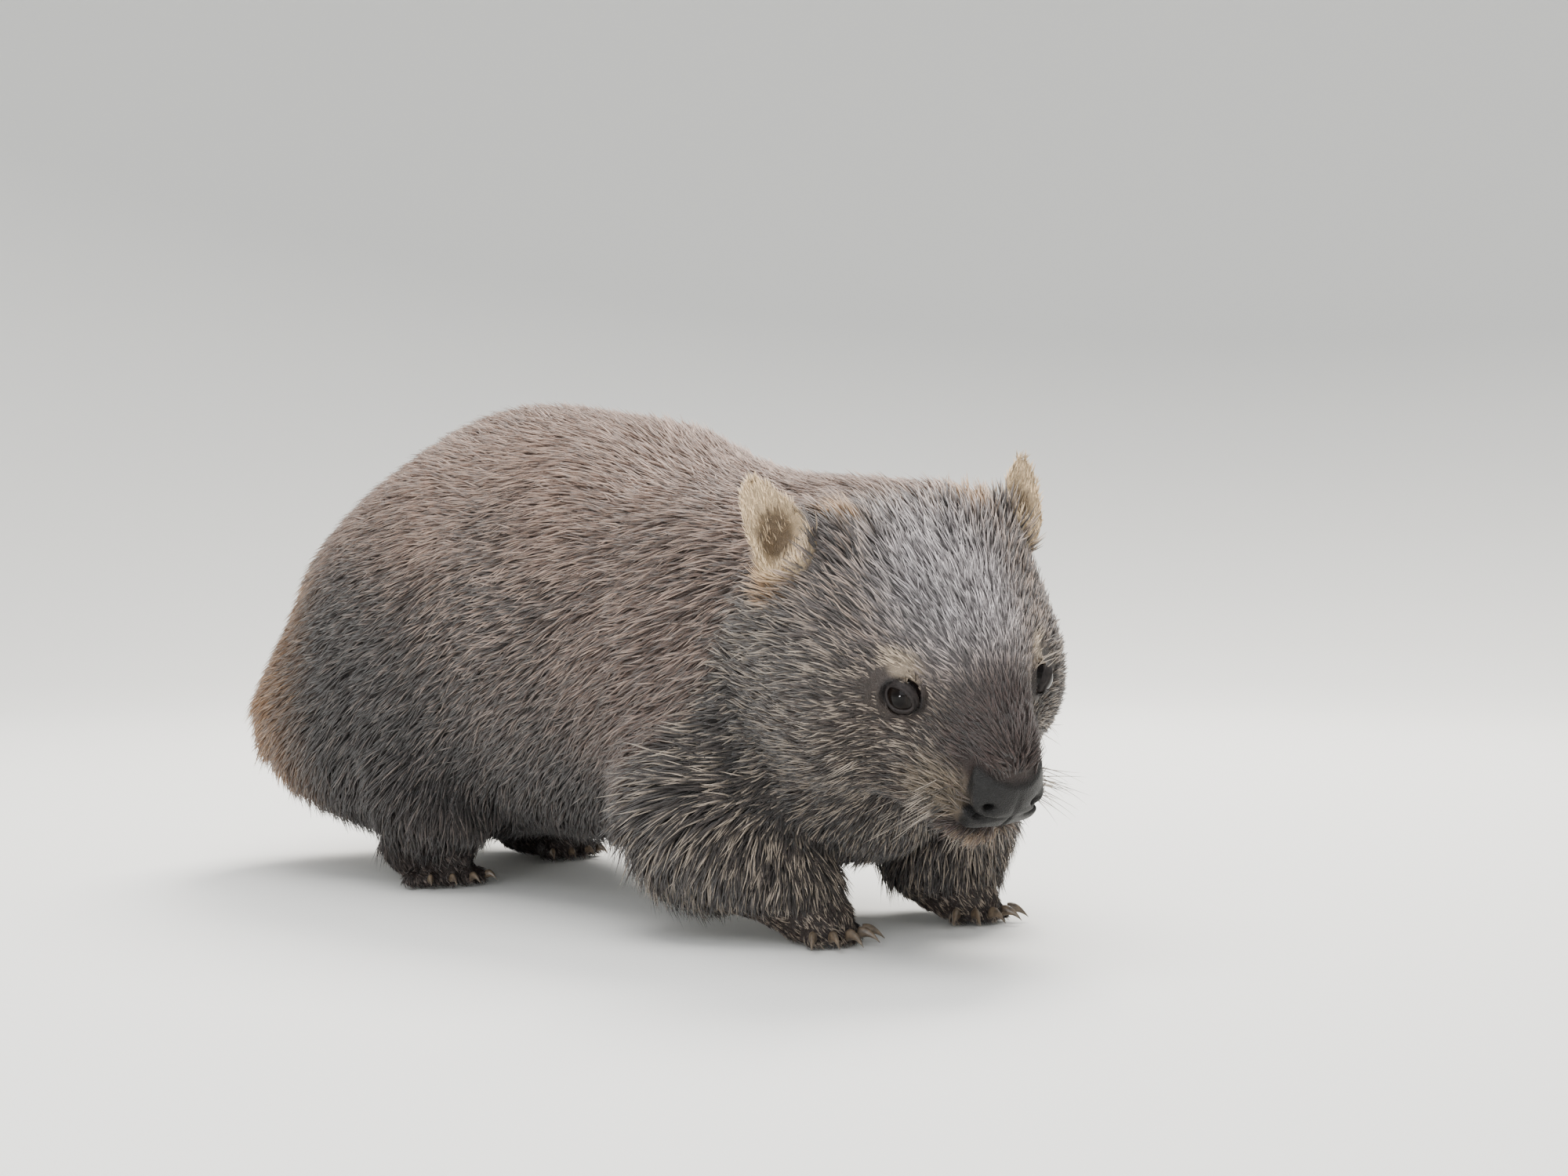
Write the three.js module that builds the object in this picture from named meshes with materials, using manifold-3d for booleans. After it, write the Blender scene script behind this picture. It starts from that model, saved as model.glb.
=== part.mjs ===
// A young common wombat, walking slowly with its head lowered, as a life-size museum model.
// Millimetres. +X runs towards the head, +Y to the animal's left and +Z up. The soles stand on z = 0.
// The trunk and head are one form of blended masses. Capsules are cast out onto that form, along the
// back and along the head, and parted by thin cuts, so neighbours meet face to face with a small gap.
import * as THREE from "three";
import { mergeVertices } from "three/addons/utils/BufferGeometryUtils.js";
import Module from "manifold-3d";

const wasm = await Module();
wasm.setup();

// Driving dimensions
const GAP = 0.3;
const EYE_RADIUS = 10.5;
const EYE_DEPTH = 6;
const LID_RADIUS = 10.6;
const LID_TUBE = 3.2;
const EAR_HEIGHT = 74;
const EAR_WIDTH = 42;
const EAR_THICKNESS = 6;
const EAR_CUP = 13;
const MOUTH_LINE = 1.8;
const MOUTH_DEPTH = 6;
const TOE_RADIUS = 8.5;
const TAIL_LENGTH = 26;

// How the head is carried, with its frame's origin midway between the eyes
const HEAD_AT = [155, -30, 161];
const HEAD_YAW = -5;
const HEAD_PITCH = 36;
const HEAD_ROLL = 6;

// Masses of the trunk: centre, half-lengths, and how softly each blends into those before it
const BLEND = 30;
const TRUNK_MASSES = [
  { name: "rump", at: [-428, 0, 168], half: [156, 126, 134] },
  { name: "haunches", at: [-384, 64, 150], half: [116, 80, 118], both: true },
  { name: "hams", at: [-442, 64, 116], half: [120, 95, 76], both: true },
  { name: "loin", at: [-310, 0, 196], half: [156, 134, 153], blend: 60 },
  { name: "belly", at: [-210, 0, 186], half: [150, 138, 150] },
  { name: "ribs", at: [-100, 0, 172], half: [130, 128, 130] },
  { name: "shoulders", at: [-40, 58, 160], half: [84, 62, 116], both: true },
  { name: "withers", at: [0, -2, 205], half: [110, 90, 84] },
  { name: "nape", at: [46, -4, 202], half: [82, 90, 79] },
  { name: "brisket", at: [30, -6, 112], half: [66, 72, 66] },
];

// Masses of the head, in the head's frame: forward, left and up
const HEAD_MASSES = [
  { name: "crown", at: [-80, 0, -2], half: [70, 84, 60] },
  { name: "ear mounts", at: [-98, 50, 18], half: [38, 32, 46], both: true },
  { name: "brow", at: [-30, 0, 4], half: [62, 45, 38] },
  { name: "throat", at: [-60, 0, -60], half: [60, 50, 40] },
  { name: "jowls", at: [-84, 56, -36], half: [52, 48, 56], both: true },
  { name: "cheeks", at: [-44, 52, -38], half: [50, 48, 54], both: true },
  { name: "bridge", at: [16, 0, -8], half: [48, 28, 23], blend: 16 },
  { name: "face", at: [-2, 25, -41], half: [42, 28, 34], blend: 16, both: true },
  { name: "muzzle", at: [26, 0, -36], half: [40, 34, 31], blend: 12 },
  { name: "jaw", at: [8, 0, -60], half: [50, 30, 22], blend: 12 },
  { name: "chin", at: [36, 0, -68], half: [20, 18, 12], blend: 8 },
  { name: "nose", at: [45, 0, -34], half: [22, 27, 24], blend: 8 },
  { name: "lip pads", at: [38, 19, -47], half: [24, 17, 18], blend: 8, both: true },
];

// The legs' joints and radii, from the shoulder or hip down to the wrist or ankle
const LEGS = [
  {
    name: "fore_leg_right",
    joints: [[-40, -70, 140], [-30, -76, 80], [24, -58, 38]],
    radii: [54, 56, 34],
    foot: "fore_paw_right",
  },
  {
    name: "fore_leg_left",
    joints: [[-20, 72, 140], [0, 86, 84], [12, 84, 40]],
    radii: [52, 53, 38],
    foot: "fore_paw_left",
  },
  {
    name: "hind_leg_right",
    joints: [[-370, -70, 130], [-330, -80, 84], [-368, -78, 36]],
    radii: [62, 54, 30],
    foot: "hind_foot_right",
  },
  {
    name: "hind_leg_left",
    joints: [[-440, 66, 130], [-408, 74, 88], [-452, 72, 36]],
    radii: [62, 56, 32],
    foot: "hind_foot_left",
  },
];

// The feet: where the palm's centre stands, the way it points, its half-lengths, and its toes' spread
const PALM = [29, 25, 20];
const FOOT = [54, 26, 24];
const FORE_TOES = { angles: [-44, -22, 0, 22, 44], reach: 24, claws: [0, 1, 2, 3, 4], claw: [17, 4] };
const HIND_TOES = { angles: [-26, -9, 9, 26, 44], reach: 44, claws: [0, 1, 2, 3], claw: [13, 3.4] };
const FEET = [
  { name: "fore_paw_right", at: [38, -52], yaw: 4, palm: PALM, toes: FORE_TOES, side: -1 },
  { name: "fore_paw_left", at: [26, 84], yaw: -4, palm: PALM, toes: FORE_TOES, side: 1 },
  { name: "hind_foot_right", at: [-360, -76], yaw: -4, palm: FOOT, toes: HIND_TOES, side: -1 },
  { name: "hind_foot_left", at: [-436, 72], yaw: 4, palm: FOOT, toes: HIND_TOES, side: 1 },
];

const HIDE = new THREE.MeshStandardMaterial({ color: 0x5d5049, roughness: 0.9, metalness: 0 });
const SKIN = new THREE.MeshStandardMaterial({ color: 0x2b2a2b, roughness: 0.6, metalness: 0 });
const EAR = new THREE.MeshStandardMaterial({ color: 0xa58d67, roughness: 0.85, metalness: 0 });
const EYE = new THREE.MeshStandardMaterial({ color: 0x0c0a09, roughness: 0.08, metalness: 0 });
const HORN = new THREE.MeshStandardMaterial({ color: 0x3a332c, roughness: 0.5, metalness: 0 });

const rad = THREE.MathUtils.degToRad;
const vec = (x, y, z) => new THREE.Vector3(x, y, z);
const SIDES = { right: -1, left: 1 };

// Frames: x forward, y to the animal's left and z up, turned by yaw, pitch (nose down) and roll
function frameAt([x, y, z], yaw = 0, pitch = 0, roll = 0) {
  const turn = new THREE.Euler(rad(roll), rad(pitch), rad(yaw), "ZYX");
  return new THREE.Matrix4().makeRotationFromEuler(turn).setPosition(x, y, z);
}

// A frame whose z runs along `up` and whose y leans towards `front`
function frameAlong(origin, up, front) {
  const z = up.clone().normalize();
  const y = front.clone().addScaledVector(z, -front.dot(z)).normalize();
  return new THREE.Matrix4().makeBasis(y.clone().cross(z), y, z).setPosition(origin);
}

const WORLD = frameAt([0, 0, 0]);
const HEAD = frameAt(HEAD_AT, HEAD_YAW, HEAD_PITCH, HEAD_ROLL);
const inHead = (f, l, u) => vec(f, l, u).applyMatrix4(HEAD);
const headWay = (f, l, u) => vec(f, l, u).transformDirection(HEAD);

// A form is a chain of ellipsoids and tapered limbs, each blended into those before it
const local = vec(0, 0, 0);
const probe = vec(0, 0, 0);

function blended(a, b, k) {
  const h = Math.max(k - Math.abs(a - b), 0) / k;
  return Math.min(a, b) - (h * h * k) / 4;
}

class Form {
  constructor() {
    this.pieces = [];
  }

  masses(frame, rows) {
    const inverse = frame.clone().invert();
    for (const { at, half, blend = BLEND, both = false } of rows) {
      for (const side of both ? [1, -1] : [1]) {
        const depth = ellipsoid([at[0], side * at[1], at[2]], half);
        this.pieces.push({ depth, blend, inverse });
      }
    }
    return this;
  }

  limb(from, to, radiusFrom, radiusTo, blend = BLEND) {
    const start = vec(...from);
    const along = vec(...to).sub(start);
    const q = vec(0, 0, 0);
    const depth = (p) => {
      q.copy(p).sub(start);
      const t = THREE.MathUtils.clamp(q.dot(along) / along.lengthSq(), 0, 1);
      return q.addScaledVector(along, -t).length() - THREE.MathUtils.lerp(radiusFrom, radiusTo, t);
    };
    this.pieces.push({ depth, blend, inverse: WORLD });
    return this;
  }

  // The distance to the form's surface, about true near it and negative inside
  depth(p) {
    let total = Infinity;
    for (const { depth, blend, inverse } of this.pieces) {
      const d = depth(local.copy(p).applyMatrix4(inverse));
      total = total === Infinity ? d : blended(total, d, blend);
    }
    return total;
  }

  // How far the surface lies from a point inside, along a unit direction
  reach(from, along, far = 400) {
    let near = 0;
    let t = 0;
    let d = this.depth(from);
    while (d < 0 && t < far) {
      near = t;
      t += Math.max(1.5, -0.6 * d);
      d = this.depth(probe.copy(from).addScaledVector(along, t));
    }
    if (d < 0) return far;
    for (let i = 0; i < 12; i++) {
      const middle = (near + t) / 2;
      if (this.depth(probe.copy(from).addScaledVector(along, middle)) < 0) near = middle;
      else t = middle;
    }
    return t;
  }

  surface(from, along) {
    return from.clone().addScaledVector(along, this.reach(from, along));
  }
}

function ellipsoid([cx, cy, cz], [rx, ry, rz]) {
  return (p) => {
    const [x, y, z] = [p.x - cx, p.y - cy, p.z - cz];
    const k = Math.hypot(x / rx, y / ry, z / rz);
    const slope = Math.hypot(x / (rx * rx), y / (ry * ry), z / (rz * rz));
    return slope > 1e-9 ? (k * (k - 1)) / slope : -Math.min(rx, ry, rz);
  };
}

// Solids from three.js geometries, and back
function solid(geometry, matrix = WORLD) {
  const bare = new THREE.BufferGeometry();
  bare.setAttribute("position", geometry.getAttribute("position").clone());
  bare.setIndex(geometry.index);
  const merged = mergeVertices(bare, 1e-4).applyMatrix4(matrix);
  const index = merged.index.array;
  const kept = [];
  for (let i = 0; i < index.length; i += 3) {
    const [a, b, c] = [index[i], index[i + 1], index[i + 2]];
    if (a !== b && b !== c && c !== a) kept.push(a, b, c);
  }
  const vertProperties = new Float32Array(merged.getAttribute("position").array);
  return new wasm.Manifold(new wasm.Mesh({ numProp: 3, vertProperties, triVerts: new Uint32Array(kept) }));
}

function largest(body) {
  return body.decompose().sort((a, b) => b.volume() - a.volume())[0];
}

function meshOf(name, body, material) {
  const { vertProperties, triVerts } = largest(body).getMesh();
  const geometry = new THREE.BufferGeometry();
  geometry.setAttribute("position", new THREE.BufferAttribute(vertProperties.slice(), 3));
  geometry.setIndex(new THREE.BufferAttribute(triVerts.slice(), 1));
  const mesh = new THREE.Mesh(geometry, material);
  mesh.name = name;
  return mesh;
}

const scaled = (x, y, z) => new THREE.Matrix4().makeScale(x, y, z);

function ball(frame, [x, y, z], sides = 24, rings = 16) {
  return solid(new THREE.SphereGeometry(1, sides, rings), frame.clone().multiply(scaled(x, y, z)));
}

// Casts a capsule out onto a form, its axis along the path and each vertex out along its own normal.
// `left` is the rings' left, and `grows` asks for copies grown by so much.
function castOnto(form, path, { rings, sides, caps, left, grows = [0] }) {
  const capsule = new THREE.CapsuleGeometry(1, 2, caps, sides, rings);
  capsule.deleteAttribute("normal");
  capsule.deleteAttribute("uv");
  const pattern = mergeVertices(capsule, 1e-5);
  const position = pattern.getAttribute("position");
  const results = grows.map(() => position.clone());
  const v = vec(0, 0, 0);
  for (let i = 0; i < position.count; i++) {
    v.fromBufferAttribute(position, i);
    const axial = THREE.MathUtils.clamp(v.y, -1, 1);
    const centre = path.getPointAt((axial + 1) / 2);
    const ahead = path.getTangentAt((axial + 1) / 2);
    const side = left.clone().addScaledVector(ahead, -left.dot(ahead)).normalize();
    const down = side.clone().cross(ahead);
    const out = side.multiplyScalar(v.x).addScaledVector(ahead, v.y - axial).addScaledVector(down, v.z);
    const distance = form.reach(centre, out.normalize());
    results.forEach((attribute, n) => {
      const p = centre.clone().addScaledVector(out, distance + grows[n]);
      attribute.setXYZ(i, p.x, p.y, p.z);
    });
  }
  return results.map((attribute) =>
    solid(new THREE.BufferGeometry().setAttribute("position", attribute).setIndex(pattern.index)),
  );
}

// The trunk and the head, cast onto one form
const BODY = new Form().masses(WORLD, TRUNK_MASSES).masses(HEAD, HEAD_MASSES);
const BACK = new THREE.CatmullRomCurve3([
  vec(-450, 0, 190),
  vec(-300, 0, 198),
  vec(-150, 0, 186),
  vec(-20, -4, 180),
  vec(60, -10, 165),
]);
const SKULL = new THREE.LineCurve3(inHead(-74, 0, -18), inHead(36, 0, -34));
const LEFT = vec(0, 1, 0);

const [trunk, trunkGrown] = castOnto(BODY, BACK, {
  rings: 26,
  sides: 32,
  caps: 6,
  left: LEFT,
  grows: [0, GAP],
});
const [skull, skullGrown, skullCore] = castOnto(BODY, SKULL, {
  rings: 20,
  sides: 34,
  caps: 6,
  left: headWay(0, 1, 0),
  grows: [0, GAP, -MOUTH_DEPTH],
});
const bodyGrown = trunkGrown.add(skullGrown);

// The joint between head and neck is a bowl round the head's back, and the neck ends at the withers
const HEAD_BOWL = { at: [-22, 0, -4], half: [116, 130, 96] };
function headBowl(grow) {
  const frame = HEAD.clone().multiply(frameAt(HEAD_BOWL.at));
  return ball(frame, HEAD_BOWL.half.map((r) => r + grow), 28, 18);
}
const WITHERS_CUT = { at: [16, 0, 210], normal: [1, -0.05, 0.5], size: 900 };
const withersCut = (() => {
  const normal = vec(...WITHERS_CUT.normal).normalize();
  const turn = new THREE.Quaternion().setFromUnitVectors(vec(1, 0, 0), normal);
  const slab = new THREE.BoxGeometry(GAP, WITHERS_CUT.size, WITHERS_CUT.size);
  return solid(slab, new THREE.Matrix4().compose(vec(...WITHERS_CUT.at), turn, vec(1, 1, 1)));
})();
const [torso, neck] = trunk
  .subtract(headBowl(GAP))
  .subtract(withersCut)
  .decompose()
  .sort((a, b) => b.volume() - a.volume());
let head = largest(skull.intersect(headBowl(0)));

const wombat = new THREE.Group();
const animal = new THREE.Group();
wombat.add(animal);
animal.add(meshOf("torso", torso, HIDE), meshOf("neck", neck, HIDE));

// Eyes, each sunk into the head inside a ring of lid
const EYE_FROM = [-24, 0, -7];
const EYE_LOOK = [0.42, 0.88, 0.1];
const LID_STRETCH = [1.12, 0.9];
const LID_UP = [0.2, 0, 1];
for (const [word, side] of Object.entries(SIDES)) {
  const look = headWay(EYE_LOOK[0], side * EYE_LOOK[1], EYE_LOOK[2]);
  const rim = BODY.surface(inHead(...EYE_FROM), look);
  const centre = rim.clone().addScaledVector(look, -EYE_DEPTH);
  const eyeFrame = frameAlong(centre, look, headWay(0, 0, 1));
  const lid = new THREE.TorusGeometry(LID_RADIUS, LID_TUBE, 6, 18);
  const lidFrame = frameAlong(rim, look, headWay(...LID_UP)).multiply(scaled(...LID_STRETCH, 1));
  const eyeball = ball(eyeFrame, [EYE_RADIUS, EYE_RADIUS, EYE_RADIUS], 14, 10);
  const socket = ball(eyeFrame, [EYE_RADIUS + GAP, EYE_RADIUS + GAP, EYE_RADIUS + GAP], 14, 10);
  head = head.add(solid(lid, lidFrame)).subtract(socket);
  animal.add(meshOf(`eye_${word}`, eyeball, EYE));
}

// The nose pad, with its nostrils, and the line of the mouth
const NOSE_PAD = { at: [70, 0, -30], half: [28, 27, 26] };
const NOSTRIL = { at: [62, 16, -37], half: [9, 5, 3.4], turn: 40, tilt: -28 };
const nosePad = (grow) =>
  ball(HEAD.clone().multiply(frameAt(NOSE_PAD.at)), NOSE_PAD.half.map((r) => r + grow), 16, 10);
let nose = head.intersect(nosePad(0));
head = head.subtract(nosePad(GAP));
for (const side of Object.values(SIDES)) {
  const [f, l, u] = NOSTRIL.at;
  const frame = frameAt([f, side * l, u], side * NOSTRIL.turn, 0, side * NOSTRIL.tilt);
  nose = nose.subtract(ball(HEAD.clone().multiply(frame), NOSTRIL.half, 8, 6));
}
animal.add(meshOf("nose", nose, SKIN));

const MOUTH = { at: [46, 0, -60], size: [52, 90], pitch: 4 };
const mouthPlate = new THREE.BoxGeometry(...MOUTH.size, MOUTH_LINE);
const mouthFrame = HEAD.clone().multiply(frameAt(MOUTH.at, 0, MOUTH.pitch));
head = head.subtract(solid(mouthPlate, mouthFrame).subtract(skullCore));

// Ears: a flattened ball drawn out to a blunt tip and bent into a cup
const EAR_ROOT = [-90, 72, 12];
const EAR_WAY = [-0.58, 0.39, 0.71];
const EAR_OPENS = [0.8, 0.2, 0.57];
const EAR_SHAPE = { root: 1.05, narrows: 0.4, deep: 1.3, opens: 0.8 };
function earGeometry() {
  const geometry = new THREE.SphereGeometry(0.5, 16, 12);
  const position = geometry.getAttribute("position");
  for (let i = 0; i < position.count; i++) {
    const t = position.getY(i) + 0.5;
    const across = -position.getX(i) * EAR_WIDTH * (EAR_SHAPE.root - EAR_SHAPE.narrows * t * t);
    const cup = EAR_CUP * (EAR_SHAPE.deep - EAR_SHAPE.opens * t) * (across / (EAR_WIDTH / 2)) ** 2;
    const thick = position.getZ(i) * EAR_THICKNESS;
    position.setXYZ(i, across, cup + thick, t * EAR_HEIGHT);
  }
  return geometry;
}
for (const [word, side] of Object.entries(SIDES)) {
  const [f, l, u] = EAR_ROOT;
  const way = headWay(EAR_WAY[0], side * EAR_WAY[1], EAR_WAY[2]);
  const opens = headWay(EAR_OPENS[0], side * EAR_OPENS[1], EAR_OPENS[2]);
  const frame = frameAlong(inHead(f, side * l, u), way, opens);
  animal.add(meshOf(`ear_${word}`, solid(earGeometry(), frame).subtract(bodyGrown), EAR));
}
animal.add(meshOf("head", head, HIDE));

// The tail is a stub, nearly hidden in the coat
const TAIL = { at: [-580, 0, 150], half: [TAIL_LENGTH / 2, 10, 15], tilt: -30 };
const stub = ball(frameAt(TAIL.at, 0, TAIL.tilt), TAIL.half, 10, 8);
animal.add(meshOf("tail", stub.subtract(bodyGrown), HIDE));

// Legs and feet. Soles are cut flat at the floor.
const FLOOR_SIZE = 2000;
const floor = solid(
  new THREE.BoxGeometry(FLOOR_SIZE, FLOOR_SIZE, FLOOR_SIZE),
  frameAt([0, 0, -FLOOR_SIZE / 2]),
);
const TOE_HEIGHT = TOE_RADIUS - 1;
const TOE_INNER = 0.35;
const SOLE_CUT = 2;
const CLAW_ROOT = { into: TOE_RADIUS * 0.4, over: 0.5 };
const CLAW_SHAPE = { tip: 0.25, thin: 0.75, drop: 0.28 };

function toe({ reach }, palm, angle, side, grow) {
  const inner = reach * TOE_INNER;
  const length = reach - inner;
  const capsule = new THREE.CapsuleGeometry(TOE_RADIUS + grow, length, 2, 7);
  const frame = palm
    .clone()
    .multiply(frameAt([0, 0, TOE_HEIGHT], side * angle))
    .multiply(frameAt([inner + length / 2, 0, 0]))
    .multiply(new THREE.Matrix4().makeRotationZ(-Math.PI / 2));
  return solid(capsule, frame);
}

function foot({ at, yaw, palm, toes, side }, grow) {
  const stand = frameAt([at[0], at[1], 0], yaw);
  const middle = stand.clone().multiply(frameAt([0, 0, palm[2] - SOLE_CUT]));
  let body = ball(middle, palm.map((r) => r + grow), 14, 10);
  for (const angle of toes.angles) body = body.add(toe(toes, stand, angle, side, grow));
  return body;
}

// A claw: a cone bent down along its length
function claw([length, radius], frame) {
  const cone = new THREE.CylinderGeometry(radius * CLAW_SHAPE.tip, radius, length, 5, 3);
  const position = cone.getAttribute("position");
  for (let i = 0; i < position.count; i++) {
    const t = position.getY(i) / length + 0.5;
    const drop = CLAW_SHAPE.drop * length * t * t;
    position.setXYZ(i, t * length, position.getZ(i) * CLAW_SHAPE.thin, position.getX(i) - drop);
  }
  return solid(cone, frame);
}

for (const leg of LEGS) {
  const form = new Form();
  const [top, middle, end] = leg.joints;
  const [r0, r1, r2] = leg.radii;
  form.limb(top, middle, r0, r1).limb(middle, end, r1, r2);
  const path = new THREE.CatmullRomCurve3(leg.joints.map((p) => vec(...p)));
  const [limb, limbGrown] = castOnto(form, path, {
    rings: 7,
    sides: 14,
    caps: 3,
    left: LEFT,
    grows: [0, GAP],
  });
  const row = FEET.find(({ name }) => name === leg.foot);
  const paw = foot(row, 0).subtract(floor).subtract(limbGrown).subtract(bodyGrown);
  const pawGrown = foot(row, GAP).add(limbGrown);
  animal.add(meshOf(leg.name, limb.subtract(bodyGrown).subtract(floor), HIDE), meshOf(row.name, paw, HIDE));
  const stand = frameAt([row.at[0], row.at[1], 0], row.yaw);
  for (const n of row.toes.claws) {
    const frame = stand
      .clone()
      .multiply(frameAt([0, 0, TOE_HEIGHT], row.side * row.toes.angles[n]))
      .multiply(frameAt([row.toes.reach + CLAW_ROOT.into, 0, CLAW_ROOT.over]));
    animal.add(meshOf(`${row.name}_claw_${n + 1}`, claw(row.toes.claw, frame).subtract(pawGrown), HORN));
  }
}

// The part's origin is on the floor, under the middle of its box
const box = new THREE.Box3().setFromObject(animal, true);
animal.position.set(-(box.min.x + box.max.x) / 2, -(box.min.y + box.max.y) / 2, -box.min.z);

export default wombat;
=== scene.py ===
"""A young common wombat as a life-size museum model: skin, coat, eyes, claws and whiskers, in metres.

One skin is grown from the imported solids, drawn in by the coat's depth. Tufts of hair are then set on it
along the lie of the coat, so that their tips come out to the solids' surface.
"""
import math

import bpy
import bmesh
import numpy as np
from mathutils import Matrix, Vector


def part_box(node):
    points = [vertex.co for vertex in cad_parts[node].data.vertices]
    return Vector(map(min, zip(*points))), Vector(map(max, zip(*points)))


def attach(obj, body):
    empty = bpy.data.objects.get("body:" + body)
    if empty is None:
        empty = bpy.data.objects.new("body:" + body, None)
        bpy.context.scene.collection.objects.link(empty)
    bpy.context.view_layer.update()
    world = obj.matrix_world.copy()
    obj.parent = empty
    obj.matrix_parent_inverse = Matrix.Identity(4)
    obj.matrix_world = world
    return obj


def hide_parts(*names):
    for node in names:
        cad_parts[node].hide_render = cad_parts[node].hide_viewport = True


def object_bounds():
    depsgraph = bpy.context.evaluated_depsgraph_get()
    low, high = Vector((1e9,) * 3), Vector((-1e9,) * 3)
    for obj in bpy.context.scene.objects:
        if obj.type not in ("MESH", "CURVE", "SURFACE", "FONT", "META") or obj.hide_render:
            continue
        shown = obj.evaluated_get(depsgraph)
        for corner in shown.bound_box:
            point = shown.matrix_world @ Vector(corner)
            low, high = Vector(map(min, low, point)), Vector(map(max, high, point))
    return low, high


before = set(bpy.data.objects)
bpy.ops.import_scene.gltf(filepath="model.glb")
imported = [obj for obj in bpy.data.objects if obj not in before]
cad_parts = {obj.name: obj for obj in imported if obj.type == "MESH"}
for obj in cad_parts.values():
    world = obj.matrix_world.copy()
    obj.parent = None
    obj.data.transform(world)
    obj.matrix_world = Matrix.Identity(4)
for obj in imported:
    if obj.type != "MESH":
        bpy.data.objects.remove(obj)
CAD_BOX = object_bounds()
MM = 0.001
BOTH_SIDES = (-1, 1)
rng = np.random.default_rng(41)

# The lowest that the skin, and that hair or a claw, may come over the floor, in metres
SKIN_LOWEST = 0.0004
HAIR_LOWEST = 0.0003

# The head's frame: forward, left and up, from a place just ahead of and above the eyes' middle
HEAD_YAW, HEAD_PITCH, HEAD_ROLL = -5.0, 36.0, 6.0
EYES_IN_HEAD = (-1.85, 0.1, -1.7)


def middle(node):
    low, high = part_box(node)
    return np.array((low + high) / 2)


def turn(yaw, pitch, roll):
    y, p, r = np.radians([yaw, pitch, roll])
    about_z = np.array([[math.cos(y), -math.sin(y), 0], [math.sin(y), math.cos(y), 0], [0, 0, 1]])
    about_y = np.array([[math.cos(p), 0, math.sin(p)], [0, 1, 0], [-math.sin(p), 0, math.cos(p)]])
    about_x = np.array([[1, 0, 0], [0, math.cos(r), -math.sin(r)], [0, math.sin(r), math.cos(r)]])
    return about_z @ about_y @ about_x


EYES = {"right": middle("eye_right"), "left": middle("eye_left")}
HEAD_TURN = turn(HEAD_YAW, HEAD_PITCH, HEAD_ROLL)
HEAD_AT = (EYES["right"] + EYES["left"]) / 2 - HEAD_TURN @ np.array(EYES_IN_HEAD) * MM


def to_head(points):
    """Points of the part's frame, in the head's frame and in millimetres."""
    return (np.atleast_2d(points) - HEAD_AT) @ HEAD_TURN / MM


def from_head(points):
    return HEAD_AT + np.atleast_2d(points) * MM @ HEAD_TURN.T


def head_way(ways):
    return np.atleast_2d(ways) @ HEAD_TURN.T


def unit(v):
    return v / np.maximum(np.linalg.norm(v, axis=-1, keepdims=True), 1e-9)


def fade(value, low, high):
    """0 below low, 1 above high and smooth between."""
    t = np.clip((value - low) / (high - low), 0, 1)
    return t * t * (3 - 2 * t)


def spot(points, at, half):
    """1 in the middle of an ellipsoid and 0 outside it, smooth between."""
    k = np.linalg.norm((points - np.array(at)) / np.array(half), axis=-1)
    return 1 - fade(k, 0.35, 1.0)


def twin_spots(points, at, half):
    """A spot on either side of the middle. The two don't meet."""
    x, y, z = at
    return sum(spot(points, (x, side * y, z), half) for side in BOTH_SIDES)


def line(value, width):
    """1 where the value is 0, falling off smoothly to both sides."""
    return np.exp(-((value / width) ** 2))


def between(first, second, share):
    """The first where the share is 0, and the second where it is 1."""
    return first * (1 - share) + second * share


def mix(base, other, share):
    """Rows of colours or ways, between two, with one share for each row."""
    return between(base, np.asarray(other), share[:, None])


def linear(r, g, b):
    """A display colour from 0 to 255, as a linear one."""
    c = np.array([r, g, b]) / 255
    return np.where(c <= 0.04045, c / 12.92, ((c + 0.055) / 1.055) ** 2.4)


def waves(points, scale, seed, count=7):
    """Smooth noise: a few waves in scattered directions, the same in each run."""
    r = np.random.default_rng(seed)
    ways = unit(r.normal(size=(count, 3)))
    phases = r.uniform(0, 2 * math.pi, count)
    rates = 2 * math.pi / scale * r.uniform(0.6, 1.5, count)
    return np.sin(points @ (ways * rates[:, None]).T + phases).sum(1) / math.sqrt(count)


# The skin, grown from these solids. Its share of faces is what is kept away from the head and feet
FLESH = [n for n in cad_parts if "claw" not in n and not n.startswith("eye")]
VOXEL = 2.0 * MM
SKIN_SHARE = 0.36


def joined_flesh():
    """One closed mesh over all the flesh solids, with finer faces at the face, ears and feet."""
    source = bmesh.new()
    for name in FLESH:
        source.from_mesh(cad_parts[name].data)
    mesh = bpy.data.meshes.new("skin")
    source.to_mesh(mesh)
    source.free()
    piece = bpy.data.objects.new("skin", mesh)
    bpy.context.scene.collection.objects.link(piece)
    remesh = piece.modifiers.new("remesh", "REMESH")
    remesh.mode = "VOXEL"
    remesh.voxel_size = VOXEL
    apply_modifiers(piece)
    co = relaxed(points_of(piece.data), edges_of(piece.data), 3)
    set_points(piece.data, co)
    coarse = piece.vertex_groups.new(name="coarse")
    plain = 1 - np.maximum.reduce([ears(co), near_feet(co), fade(to_head(co)[:, 0], -10, 20)])
    for n in np.nonzero(plain > 0.02)[0]:
        coarse.add([int(n)], float(plain[n]), "REPLACE")
    thin = piece.modifiers.new("thin", "DECIMATE")
    thin.ratio = SKIN_SHARE
    thin.vertex_group = coarse.name
    thin.use_collapse_triangulate = True
    apply_modifiers(piece)
    piece.vertex_groups.clear()
    return piece


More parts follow.
